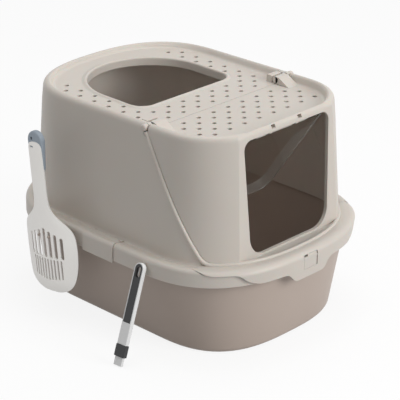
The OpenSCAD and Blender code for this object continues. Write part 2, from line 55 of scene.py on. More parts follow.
box = {
    "count": 192,  # points round each outline
    "backY": 96,  # where the straight sides end at the back
    "rimFrontY": -100,
    "hoodFrontY": -120,
    "panBase": (171, 150.5),
    "panTop": (194, 168),
    "panPowers": (2.85, 2.6),
    "panHeight": 156.8,
    "rim": (217, 182, 176),
    "rimPowers": (2.58, 2.35),
    "rimLow": 138,
    "rimUnder": 157.3,
    "hoodTop": (178, 125, 147),
    "hoodLow": (189, 144.5, 158),
    "hoodPowers": (2.4, 2.5),
    "lipBack": 374.5,
    "lipFront": 380,
    "ledge": 162,
    "foot": 163.2,
    "plate": 364,
    "wall": 2.6,
    "reach": 230,  # half width of a cut that runs right across
    "panelTopY": -226.2,
    "panelSlope": 0.073,
    "seamSlope": 0.6,
    "seamTop": 374,
    "hinge": (-79, 371.5),  # y and z of the front hood's hinge line
}


def power(value, exponent):
    return math.copysign(abs(value) ** exponent, value)


def mix(low, high, part):
    return low + (high - low) * part


def outlinePoint(turn, half, ends, depths, powers):
    c, s = math.cos(turn), math.sin(turn)
    side = 0 if s < 0 else 1
    n = powers[side]
    return half * power(c, 2 / n), ends[side] + depths[side] * power(s, 2 / n)


def outline(half, ends, depths, powers):
    turns = [math.tau * (k + 0.5) / box["count"] for k in range(box["count"])]
    return [outlinePoint(turn, half, ends, depths, powers) for turn in turns]


def panRing(z, inset):
    part = z / box["rimLow"]
    half = mix(box["panBase"][0], box["panTop"][0], part) - inset
    depth = mix(box["panBase"][1], box["panTop"][1], part) - inset
    ends = (box["rimFrontY"], box["backY"])
    return [(x, y, z) for x, y in outline(half, ends, (depth, depth), box["panPowers"])]


def rimRing(z, inset):
    half, front, back = (size - inset for size in box["rim"])
    ends = (box["rimFrontY"], box["backY"])
    return [(x, y, z) for x, y in outline(half, ends, (front, back), box["rimPowers"])]


def hoodSizes(z, inset):
    part = (box["lipBack"] - z) / (box["lipBack"] - box["ledge"])
    return [mix(top, low, part) - inset for top, low in zip(box["hoodTop"], box["hoodLow"])]


def hoodRing(z, inset):
    half, front, back = hoodSizes(z, inset)
    ends = (box["hoodFrontY"], box["backY"])
    return [(x, y, z) for x, y in outline(half, ends, (front, back), box["hoodPowers"])]


def hoodPoint(turn, z, inset):
    half, front, back = hoodSizes(z, inset)
    x, y = outlinePoint(turn, half, (box["hoodFrontY"], box["backY"]), (front, back), box["hoodPowers"])
    return Vector((x, y, z))


def lipZ(y):
    return mix(box["lipBack"], box["lipFront"], (box["backY"] - y) / (box["backY"] - box["panelTopY"]))


def lipRing(drop, inset):
    return [(x, y, lipZ(y) - drop) for x, y, _ in hoodRing(box["lipBack"], inset)]


def blendRing(first, second, part, z):
    return [(mix(a[0], b[0], part), mix(a[1], b[1], part), z) for a, b in zip(first, second)]


def panelY(z):
    return box["panelTopY"] - box["panelSlope"] * (box["plate"] - z)


def seamY(z):
    return box["hinge"][0] - box["seamSlope"] * (box["seamTop"] - z)


# Rounds the corners of an open or closed list of points by cutting them again and again
def soften(points, rounds=2, closed=True):
    for _ in range(rounds):
        pairs = zip(points, points[1:] + points[:1]) if closed else zip(points, points[1:])
        cut = []
        for a, b in pairs:
            a, b = Vector(a), Vector(b)
            cut += [a.lerp(b, 0.25), a.lerp(b, 0.75)]
        points = cut if closed else [Vector(points[0])] + cut[1:-1] + [Vector(points[-1])]
    return [tuple(p) for p in points]


def arc(x, y, radius, start, end, steps=10):
    turns = [math.radians(mix(start, end, k / steps)) for k in range(steps + 1)]
    return [(x + radius * math.cos(t), y + radius * math.sin(t)) for t in turns]


# Closed skin over rings of equal point counts; a looped one joins its last ring to its first
def skin(rings, looped=False):
    bm = bmesh.new()
    loops = []
    for ring in rings:
        verts = [bm.verts.new(point) for point in ring]
        loops.append([bm.edges.new(pair) for pair in zip(verts, verts[1:] + verts[:1])])
    for low, high in zip(loops, loops[1:] + (loops[:1] if looped else [])):
        bmesh.ops.bridge_loops(bm, edges=low + high)
    if not looped:
        for loop in (loops[0], loops[-1]):
            bmesh.ops.contextual_create(bm, geom=loop)
    bmesh.ops.recalc_face_normals(bm, faces=bm.faces[:])
    return bm


def onAxis(axis, a, b, along):
    return {"x": (along, a, b), "y": (a, along, b), "z": (a, b, along)}[axis]


# Prism over (y, z), (x, z) or (x, y) points for axis x, y or z
def prism(axis, points, low, high, rounding=0.0):
    bm = bmesh.new()
    face = bm.faces.new([bm.verts.new(onAxis(axis, a, b, low)) for a, b in points])
    grown = bmesh.ops.extrude_face_region(bm, geom=[face])["geom"]
    moved = [v for v in grown if isinstance(v, bmesh.types.BMVert)]
    bmesh.ops.translate(bm, verts=moved, vec=onAxis(axis, 0, 0, high - low))
    bmesh.ops.recalc_face_normals(bm, faces=bm.faces[:])
    if rounding:
        roundEdges(bm, rounding)
    return bm


# Prism right across the box over (y, z) points
def acrossBox(points):
    return prism("x", points, -box["reach"], box["reach"])


def roundEdges(bm, rounding, sharper=20):
    edges = [e for e in bm.edges if e.is_manifold and e.calc_face_angle() > math.radians(sharper)]
    bmesh.ops.bevel(bm, geom=edges, offset=rounding, segments=3, profile=0.5, affect="EDGES",
                    material=-1, clamp_overlap=True)


def rod(axis, low, high, a, b, radius, segments=48):
    bm = bmesh.new()
    bmesh.ops.create_cone(bm, cap_ends=True, segments=segments, radius1=radius, radius2=radius,
                          depth=high - low)
    turn = {"x": ("Y", 90), "y": ("X", -90), "z": ("Z", 0)}[axis]
    bm.transform(Matrix.Rotation(math.radians(turn[1]), 4, turn[0]))
    bmesh.ops.translate(bm, verts=bm.verts[:], vec=onAxis(axis, a, b, (low + high) / 2))
    return bm


# Round solid turned from (distance along, radius) points, then laid along the x axis
def turned(profile, y, z, segments=48):
    bm = bmesh.new()
    verts = [bm.verts.new((along, radius, 0)) for along, radius in profile]
    edges = [bm.edges.new(pair) for pair in zip(verts, verts[1:])]
    bmesh.ops.spin(bm, geom=verts + edges, cent=(0, 0, 0), axis=(1, 0, 0), angle=math.tau,
                   steps=segments, use_merge=True)
    bmesh.ops.remove_doubles(bm, verts=bm.verts[:], dist=0.001)
    bmesh.ops.recalc_face_normals(bm, faces=bm.faces[:])
    bmesh.ops.translate(bm, verts=bm.verts[:], vec=(0, y, z))
    return bm


def mirrored(bm):
    copy = bm.copy()
    bmesh.ops.scale(copy, vec=(-1, 1, 1), verts=copy.verts[:])
    bmesh.ops.reverse_faces(copy, faces=copy.faces[:])
    return copy


def joined(parts):
    whole = bmesh.new()
    for part in parts:
        mesh = bpy.data.meshes.new("part")
        part.to_mesh(mesh)
        part.free()
        whole.from_mesh(mesh)
        bpy.data.meshes.remove(mesh)
    return whole


def asObject(bm, name):
    mesh = bpy.data.meshes.new(name)
    bm.to_mesh(mesh)
    bm.free()
    piece = bpy.data.objects.new(name, mesh)
    bpy.context.scene.collection.objects.link(piece)
    return piece


# Carves each tool out of a solid, or keeps or adds what the tools share with it
def carve(bm, tools, how="DIFFERENCE"):
    work = asObject(bm, "work")
    helpers = [asObject(tool, "tool") for tool in tools]
    for helper in helpers:
        step = work.modifiers.new("carve", "BOOLEAN")
        step.operation = how
        step.solver = "EXACT"
        step.object = helper
    graph = bpy.context.evaluated_depsgraph_get()
    mesh = bpy.data.meshes.new_from_object(work.evaluated_get(graph), depsgraph=graph)
    result = bmesh.new()
    result.from_mesh(mesh)
    for used in helpers + [work]:
        data = used.data
        bpy.data.objects.remove(used)
        bpy.data.meshes.remove(data)
    bpy.data.meshes.remove(mesh)
    bmesh.ops.remove_doubles(result, verts=result.verts[:], dist=0.004)
    bmesh.ops.dissolve_degenerate(result, edges=result.edges[:], dist=0.002)
    return result


def makePiece(name, bm, body, material, replaced, sharp=32):
    bmesh.ops.scale(bm, vec=(toMetres,) * 3, verts=bm.verts[:])
    piece = asObject(bm, name)
    piece.data.materials.append(material)
    piece.data.shade_smooth()
    piece.data.set_sharp_from_angle(angle=math.radians(sharp))
    weighted = piece.modifiers.new("even shading", "WEIGHTED_NORMAL")
    weighted.keep_sharp = True
    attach(piece, body)
    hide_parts(*replaced)
    return piece


def makeCamera():
    azimuth, elevation, roll = (math.radians(camera[k]) for k in ("azimuth", "elevation", "roll"))
    level = math.cos(elevation)
    back = Vector((math.sin(azimuth) * level, -math.cos(azimuth) * level, math.sin(elevation)))
    side = Vector((math.cos(azimuth), math.sin(azimuth), 0))
    up = back.cross(side)
    right = math.cos(roll) * side + math.sin(roll) * up
    above = math.cos(roll) * up - math.sin(roll) * side
    data = bpy.data.cameras.new("camera")
    data.lens = camera["lens"]
    data.sensor_width = camera["sensor"]
    data.clip_end = 20
    piece = bpy.data.objects.new("camera", data)
    bpy.context.scene.collection.objects.link(piece)
    place = (Vector(camera["target"]) + back * camera["distance"]) * toMetres
    piece.matrix_world = Matrix.Translation(place) @ Matrix((right, above, back)).transposed().to_4x4()
    bpy.context.scene.camera = piece


makeCamera()
print("camera placed")


def linear(hexColour):
    channels = [int(hexColour[k:k + 2], 16) / 255 for k in (1, 3, 5)]
    return [c / 12.92 if c <= 0.04045 else ((c + 0.055) / 1.055) ** 2.4 for c in channels] + [1]


def addNode(tree, kind, settings=None, links=None):
    node = tree.nodes.new(kind)
    for key, value in (settings or {}).items():
        if isinstance(key, int) or key in node.inputs:
            node.inputs[key].default_value = value
        else:
            setattr(node, key, value)
    for key, source in (links or {}).items():
        tree.links.new(source, node.inputs[key])
    return node


# Moulded plastic: a spark-eroded grain that breaks the highlight, faint flow clouds in the
# colour, and edges that carry a small moulded radius
def mouldedPlastic(name, finish):
    material = bpy.data.materials.new(name)
    material.use_nodes = True
    tree = material.node_tree
    tree.nodes.clear()
    place = addNode(tree, "ShaderNodeTexCoord").outputs["Object"]
    clouds = addNode(tree, "ShaderNodeTexNoise", {"Scale": 1000 / finish["cloud"], "Detail": 3.0},
                     {"Vector": place})
    grain = addNode(tree, "ShaderNodeTexNoise",
                    {"Scale": 1000 / finish["grain"], "Detail": 2.0, "Roughness": 0.6},
                    {"Vector": place})
    colour = addNode(tree, "ShaderNodeMix", {"data_type": "RGBA"}, {"Factor": clouds.outputs["Fac"]})
    colour.inputs["A"].default_value = linear(finish["dark"])
    colour.inputs["B"].default_value = linear(finish["light"])
    rough = addNode(tree, "ShaderNodeMapRange", {"To Min": finish["roughness"] - finish["spread"],
                    "To Max": finish["roughness"] + finish["spread"]},
                    {"Value": grain.outputs["Fac"]})
    edge = addNode(tree, "ShaderNodeBevel", {"samples": 6, "Radius": finish["radius"] * toMetres})
    bump = addNode(tree, "ShaderNodeBump",
                   {"Strength": finish["bump"], "Distance": finish["depth"] * toMetres},
                   {"Height": grain.outputs["Fac"], "Normal": edge.outputs["Normal"]})
    shader = addNode(tree, "ShaderNodeBsdfPrincipled",
                     {"IOR": finish["ior"], "Specular IOR Level": finish["shine"],
                      "Subsurface Weight": finish.get("depthGlow", 0.0),
                      "Subsurface Scale": 4 * toMetres},
                     {"Base Color": colour.outputs["Result"], "Roughness": rough.outputs["Result"],
                      "Normal": bump.outputs["Normal"]})
    addNode(tree, "ShaderNodeOutputMaterial", None, {"Surface": shader.outputs["BSDF"]})
    return material


# Polypropylene has a soft satin skin, so its highlight is broad and its colour even
beigePlastic = mouldedPlastic("moulded polypropylene, beige", {
    "light": "#D3CCC4", "dark": "#CDC5BB", "cloud": 140, "grain": 0.9, "roughness": 0.42,
    "spread": 0.05, "bump": 0.16, "depth": 0.12, "radius": 0.8, "ior": 1.49, "shine": 0.45,
    "depthGlow": 0.12})
taupePlastic = mouldedPlastic("moulded polypropylene, taupe", {
    "light": "#BFB0A6", "dark": "#B8A99E", "cloud": 160, "grain": 0.9, "roughness": 0.46,
    "spread": 0.05, "bump": 0.18, "depth": 0.12, "radius": 0.8, "ior": 1.49, "shine": 0.4})
scoopPlastic = mouldedPlastic("moulded polypropylene, off-white", {
    "light": "#EFEDE9", "dark": "#E9E6E2", "cloud": 60, "grain": 0.8, "roughness": 0.38,
    "spread": 0.05, "bump": 0.12, "depth": 0.1, "radius": 0.7, "ior": 1.49, "shine": 0.45})
# Thermoplastic rubber scatters more than the hard plastics and shows almost no highlight
gripRubber = mouldedPlastic("thermoplastic rubber, blue-grey", {
    "light": "#929BA4", "dark": "#89939D", "cloud": 40, "grain": 0.7, "roughness": 0.62,
    "spread": 0.06, "bump": 0.3, "depth": 0.1, "radius": 0.8, "ior": 1.5, "shine": 0.3})
# Polished ABS: hard, clean highlights
whiteAbs = mouldedPlastic("polished ABS, white", {
    "light": "#F2F2F2", "dark": "#EEEEEE", "cloud": 30, "grain": 0.6, "roughness": 0.18,
    "spread": 0.03, "bump": 0.04, "depth": 0.05, "radius": 0.5, "ior": 1.54, "shine": 0.5})
blackAbs = mouldedPlastic("moulded ABS, black", {
    "light": "#262629", "dark": "#202023", "cloud": 30, "grain": 0.6, "roughness": 0.3,
    "spread": 0.04, "bump": 0.08, "depth": 0.06, "radius": 0.4, "ior": 1.54, "shine": 0.5})


# Clear styrene: sharp highlights on its edges, hardly any colour of its own, and gentle waves about
# 80 mm long. The flange's copy is made less clear, so it shows milky white: a painted highlight for the
# bright reflections along its folds
def clearPlastic(name, clarity, roughness):
    material = bpy.data.materials.new(name)
    material.use_nodes = True
    tree = material.node_tree
    tree.nodes.clear()
    place = addNode(tree, "ShaderNodeTexCoord").outputs["Object"]
    waves = addNode(tree, "ShaderNodeTexNoise", {"Scale": 12.0, "Detail": 1.0}, {"Vector": place})
    bump = addNode(tree, "ShaderNodeBump", {"Strength": 0.1, "Distance": 2 * toMetres},
                   {"Height": waves.outputs["Fac"]})
    shader = addNode(tree, "ShaderNodeBsdfPrincipled",
                     {"Base Color": linear("#F4F2EF"), "Roughness": roughness, "IOR": 1.42,
                      "Transmission Weight": clarity, "Specular IOR Level": 0.7},
                     {"Normal": bump.outputs["Normal"]})
    addNode(tree, "ShaderNodeOutputMaterial", None, {"Surface": shader.outputs["BSDF"]})
    return material


clearStyrene = clearPlastic("clear polystyrene", 1.0, 0.04)
# the flange is less clear, and its milky white is a painted highlight for the reflections along its folds
flangeHighlightStyrene = clearPlastic("clear polystyrene, paled flange, painted highlight", 0.45, 0.2)
print("materials made")

# The front edge dips where the apron hides it
pan = {"floor": 2.6, "foot": 9, "dipHalf": 150, "dipZ": 148, "dipBack": -238}


def makePan():
    thick = box["wall"]
    rim = box["panHeight"]
    outer = [panRing(0, 8.5), panRing(0.25, 6.4), panRing(1, 4.6), panRing(2.4, 2.9),
             panRing(4.2, 1.5), panRing(6.4, 0.6), panRing(pan["foot"], 0), panRing(60, 0),
             panRing(box["rimLow"], 0), panRing(rim - 5, 0), rimRing(rim - 3, 12.8),
             rimRing(rim - 2.6, 12.2), rimRing(rim - 0.6, 12.2), rimRing(rim, 12.8)]
    inner = [panRing(rim, thick + 0.6), panRing(rim - 1, thick), panRing(60, thick),
             panRing(pan["floor"] + 14, thick), panRing(pan["floor"] + 8, thick + 1.4),
             panRing(pan["floor"] + 3.4, thick + 4.4), panRing(pan["floor"] + 0.8, thick + 8.6),
             panRing(pan["floor"], thick + 13)]
    half = pan["dipHalf"]
    back = pan["dipBack"]
    dip = prism("z", [(-half, -300), (half, -300), (half, back), (-half, back)], pan["dipZ"], 170)
    solid = carve(skin(outer + inner), [dip])
    makePiece("litterPan", solid, "pan", taupePlastic, ["litter_pan"])


makePan()
print("pan made")

lip = {  # (drop, inset) down the outside of the lip and over into the dish
    "outer": [(0, 9.8), (0.2, 8.2), (0.7, 6.4), (1.5, 4.7), (2.7, 3.2), (4.2, 2.1), (6, 1.2),
              (8.5, 0.5), (12, 0.1)],
    "inner": [(-3, 9.4), (-0.4, 9.8), (0.15, 10.5), (0.8, 11.5), (2.0, 12.7), (3.6, 13.6)],
    "fillet": [(4.6, 15.3), (2.8, 16), (1.2, 17.6), (0.35, 19.6), (0, 22)],  # above the plate
}
holes = {"pitch": 35, "row": 17.22, "radius": 4.05, "rearY": -61.2, "frontY": -96.3}


def hoodOuter():
    return [lipRing(drop, inset) for drop, inset in lip["outer"]] + [hoodRing(340, 0), hoodRing(250, 0)]


def dishTool():
    rings = [lipRing(drop, inset) for drop, inset in lip["inner"]]
    rings += [hoodRing(box["plate"] + up, inset) for up, inset in lip["fillet"]]
    return skin(rings)


def cavityRings():
    under = box["plate"] - box["wall"]
    return [hoodRing(200, box["wall"]), hoodRing(345, box["wall"]), hoodRing(under - 4, box["wall"] + 0.5),
            hoodRing(under - 1.2, box["wall"] + 2), hoodRing(under, box["wall"] + 5)]


# Air holes with a small countersink, each at (half pitches across, rows back)
def holeTool(places, firstY):
    low, high = box["plate"] - box["wall"] - 1, box["plate"]
    radii = [(low, 0), (high - 0.5, 0), (high - 0.15, 0.12), (high + 0.3, 0.55)]
    bm = skin([[(x, y, z) for x, y in arc(0, 0, holes["radius"] + more, 0, 345, 23)] for z, more in radii])
    first = bm.verts[:] + bm.edges[:] + bm.faces[:]
    for across, back in places:
        copied = bmesh.ops.duplicate(bm, geom=first)["geom"]
        verts = [v for v in copied if isinstance(v, bmesh.types.BMVert)]
        spot = (across * holes["pitch"] / 2, firstY + back * holes["row"], 0)
        bmesh.ops.translate(bm, verts=verts, vec=spot)
    bmesh.ops.delete(bm, geom=[g for g in first if isinstance(g, bmesh.types.BMVert)], context="VERTS")
    return bm


entry = {"radius": 110, "middleY": 82, "frontY": -5, "corner": 26}


def entryOutline(grow):
    wide = entry["radius"] - entry["corner"]
    cornerY = entry["frontY"] + entry["corner"]
    return (arc(0, entry["middleY"], entry["radius"] + grow, 0, 180, 60)
            + arc(-wide, cornerY, entry["corner"] + grow, 180, 270, 14)
            + arc(wide, cornerY, entry["corner"] + grow, 270, 360, 14))


# Rolled edge round the entry hole: it stands a little proud and turns down inside
def entryLip():
    section = [(0.3, -13), (0, -12), (0, -1.5), (0.25, 0.3), (1, 1.5), (2.2, 2.1), (3.6, 2.1),
               (5.2, 1.5), (7, 0.55), (8.8, -0.05), (9.4, -1.2), (2.8, -2.2), (2.4, -12), (2.1, -13)]
    return skin([[(x, y, box["plate"] + up) for x, y in entryOutline(out)] for out, up in section],
                looped=True)


# Apron of the front hood over the rim: its lower edge from the left end to the middle as (x, z), and its
# section as (inset from the rim, z)
apron = {
    "edge": [(-192, 192), (-192, 160.8), (-152, 160.6), (-146, 159.8), (-140, 157), (-134, 151),
             (-128, 146.2), (-121, 143.4), (-113, 140.4), (-105, 139), (-60, 139), (-53, 137.4),
             (-48, 134.6), (-43.5, 130), (-39, 124.4), (-33.5, 121.6), (-27, 121)],
    "top": 190,  # the gap to the rear hood lies below this
    "face": [(-5, 112), (-5, 155), (-4.2, 160), (-1, 164.4), (4, 166.8)],
    "shelf": [(11, 167.6), (18, 167), (28, 165.4)],
    "back": [(1, 160.8), (-1.4, 157.6), (-2.4, 154), (-2.4, 112)],
}
# Blocks as left, right, low and high
latch = {
    "plate": (-15.7, 15.2, 136.1, 160.7),
    "window": (-16, 17.6, 135.8, 161),
    "nick": (-16, -7, 157.4, 163),
    "gaps": ((15.6, 17.4, 139, 159.6), (-14, -8, 157.4, 159.8)),  # dark gaps in the rim behind it
    "pin": (-284.3, 153),  # y and z
    "pinRadius": 2.3,
}
clip = {"low": -47, "high": 24, "axisX": 196, "axisZ": 164.4, "lug": 2.9}


def apronPrism(gap):
    edge = soften(apron["edge"], 2, closed=False)
    half = [(x - gap, z - gap) if z < apron["top"] else (x, z) for x, z in edge]
    whole = half + [(-x, z) for x, z in reversed(half)]
    return prism("y", whole, -320, -200)


# Block through the front of the rim or the apron
def frontBlock(left, right, low, high, back=-260):
    return prism("x", [(-300, low), (back, low), (back, high), (-300, high)], left, right)


# Room in the rim for a clip and its swing
def clipRoom(side):
    edge = box["rim"][0]
    room = [(edge + 9, 130), (edge + 9, 175), (191.5, 175), (191.5, 161.2), (196, 160.6), (edge - 9, 163.6),
            (edge - 5, 163.4), (edge - 2.4, 162), (edge - 0.8, 159), (edge - 0.8, 130)]
    return prism("y", [(side * x, z) for x, z in room], clip["low"] - 0.6, clip["high"] + 0.6)


def makeRearHood():
    wall = box["wall"]
    foot = hoodRing(box["ledge"], -2.4)
    shoulder = rimRing(168, 9)
    rings = hoodOuter() + [hoodRing(174, 0), hoodRing(170, -0.15), hoodRing(167.4, -0.6),
                           hoodRing(165.6, -1.4), hoodRing(164.6, -2.4)]
    rings += [blendRing(foot, shoulder, part, z) for part, z in
              ((0.12, 164.5), (0.3, 165.3), (0.55, 166.6), (0.8, 167.6))]
    rings += [shoulder, rimRing(167.95, 6.6), rimRing(167.4, 4.3), rimRing(166.4, 2.5),
              rimRing(164.9, 1.2), rimRing(162.9, 0.35), rimRing(160.6, 0), rimRing(139.6, 0),
              rimRing(138.5, 0.35), rimRing(138, 1.1)]
    solid = skin(rings)
    under = box["rimUnder"]
    inside = skin([rimRing(130, wall), rimRing(under - 1, wall), rimRing(under, wall + 1),
                   hoodRing(under, wall)] + cavityRings())
    seam = [(seamY(160) + 3.8, 162.7), (seamY(357) + 3.8, 356.4), (-78.6, 360.4), (-78.6, 366),
            (-75.4, 371.5), (-75.4, 400), (-400, 400), (-400, 162.7)]
    ahead = carve(skin([hoodRing(162.7, -5), hoodRing(392, -5)]), [acrossBox(seam)], "INTERSECT")
    roomSection = [(-14, 110), (-14, 190), (70, 190), (70, 162.7), (19, 162.7), (12, 163.4), (6, 162.4),
                   (2.6, 160.2), (1, 157.4), (-0.4, 155), (-0.4, 110)]
    room = carve(skin([rimRing(z, inset) for inset, z in roomSection], looped=True), [apronPrism(0.6)],
                 "INTERSECT")
    rearPlaces = [(u, 0) for u in range(-6, 7, 2)] + [(u, 1) for u in range(-7, 8, 2)]
    rearPlaces += [(u, 2) for u in range(-8, 9, 2)]
    rearPlaces += [(7 * side, v) for side in (-1, 1) for v in range(3, 14, 2)]
    rearPlaces += [(8 * side, v) for side in (-1, 1) for v in range(4, 13, 2)]
    tools = [inside, dishTool(), ahead, room, clipRoom(-1), clipRoom(1),
             prism("z", entryOutline(1.5), 340, 400), holeTool(rearPlaces, holes["rearY"])]
    tools += [frontBlock(*gap, back=-262) for gap in latch["gaps"]]
    y, z = box["hinge"]
    tools += [rod("x", 171.2, 196, y, z, 6.6), rod("x", -196, -171.2, y, z, 6.6)]
    shell = carve(solid, tools)
    parts = [shell, entryLip()]
    # hinge ear, the block behind it and the lugs that carry the clip, on both sides
    for flip in (False, True):
        ear = prism("x", [(y, z - 5), (y + 17, z - 5), (y + 17, z + 5), (y, z + 5)], 164, 171, 1.2)
        knuckle = rod("x", 164, 171, y, z, 6)
        block = prism("x", [(y + 8.4, 363), (y + 21, 363), (y + 20.4, z + 4.2), (y + 19, z + 5),
                            (y + 8.4, z + 5)], 138, 162.6, 1.4)
        near, far = clip["axisX"] - clip["lug"], clip["axisX"] + clip["lug"]
        lugs = [prism("x", [(low, 160), (low + 4, 160), (low + 4, 167.4), (low, 167.4)], near, far, 0.6)
                for low in (clip["low"] + 0.5, clip["high"] - 4.5)]
        for part in [ear, knuckle, block] + lugs:
            parts.append(mirrored(part) if flip else part.copy())
            part.free()
    makePiece("rearHood", joined(parts), "rear_hood", beigePlastic, ["rear_hood"])


makeRearHood()
print("rear hood made")

door = {"top": 103.5, "low": 94.5, "topZ": 366.5, "lowZ": 168, "topRound": 16, "lowRound": 34, "deep": 6.2}
bead = {"radius": 3.5, "topZ": 366, "footZ": 167.2, "bend": 14, "groove": 1.0, "curveY": -100}
flap = {
    "y": -216,  # of its axle
    "z": 363,
    "rest": 34,  # degrees open
    "half": 100,
    "long": 208,
    "round": 24,
    "deep": 17,
    "hangX": 32,  # hangers on the front hood, and the slots above them
    "knuckles": ((-60, -37), (-27, 27), (37, 60)),
}


def doorOutline(grow):
    lean = math.degrees(math.atan((door["top"] - door["low"]) / (door["topZ"] - door["lowZ"])))
    low, top = door["lowRound"], door["topRound"]
    right = (arc(door["low"] - low + 1.5, door["lowZ"] + low, low + grow, -90, -lean, 14)
             + arc(door["top"] - top - 0.7, door["topZ"] - top, top + grow, -lean, 90, 12))
    return right + [(-x, z) for x, z in reversed(right)]


# Path of the raised bead: down the seam, round the corner at the ledge and along the front
def beadPath():
    def turnAt(z):
        y = seamY(z)
        front = hoodSizes(z, 0)[1]
        ahead = max(0.0, box["hoodFrontY"] - y) / front
        return math.asin(ahead ** (box["hoodPowers"][0] / 2))
    low = bead["footZ"]
    downs, bends, acrosses = 22, 9, 24  # steps down the seam, round the bend and to the middle
    tops = [mix(bead["topZ"], low + bead["bend"], k / downs) for k in range(downs + 1)]
    side = [(turnAt(z), z) for z in tops]
    corner, bendStart = turnAt(low), side[-1]
    bendEnd = corner + 0.1
    for k in range(1, bends):
        t = k / bends
        turn = (1 - t) ** 2 * bendStart[0] + 2 * t * (1 - t) * corner + t * t * bendEnd
        z = (1 - t) ** 2 * bendStart[1] + 2 * t * (1 - t) * low + t * t * low
        side.append((turn, z))
    side += [(mix(bendEnd, math.pi / 2, k / acrosses), low) for k in range(acrosses + 1)]
    left = [hoodPoint(math.pi + turn if turn > 0 else math.pi + 0.0001, z, 0) for turn, z in side]
    for point, (turn, z) in zip(left, side):
        if seamY(z) > box["hoodFrontY"]:
            point.y = seamY(z)
    return left + [Vector((-p.x, p.y, p.z)) for p in reversed(left[:-1])]


# Round bar along a path on the hood; it may lie ahead of the path, and taper to both ends
def tube(path, radius, segments=14, ahead=0.0, taper=True):
    rings = []
    for k, point in enumerate(path):
        onward = (path[min(k + 1, len(path) - 1)] - path[max(k - 1, 0)]).normalized()
        # straight out at the sides, and from the middle of the curve at the round front
        forward = point.y - bead["curveY"] if point.y < box["hoodFrontY"] else 0
        out = Vector((point.x, forward, 0)).normalized()
        side = onward.cross(out).normalized()
        out = side.cross(onward).normalized()
        grow = radius * min(1.0, 0.6 + 0.2 * min(k, len(path) - 1 - k)) if taper else radius
        centre = point - side * ahead
        turns = [math.tau * j / segments for j in range(segments)]
        rings.append([centre + out * (grow * math.cos(t)) + side * (grow * math.sin(t)) for t in turns])
    return skin(rings)


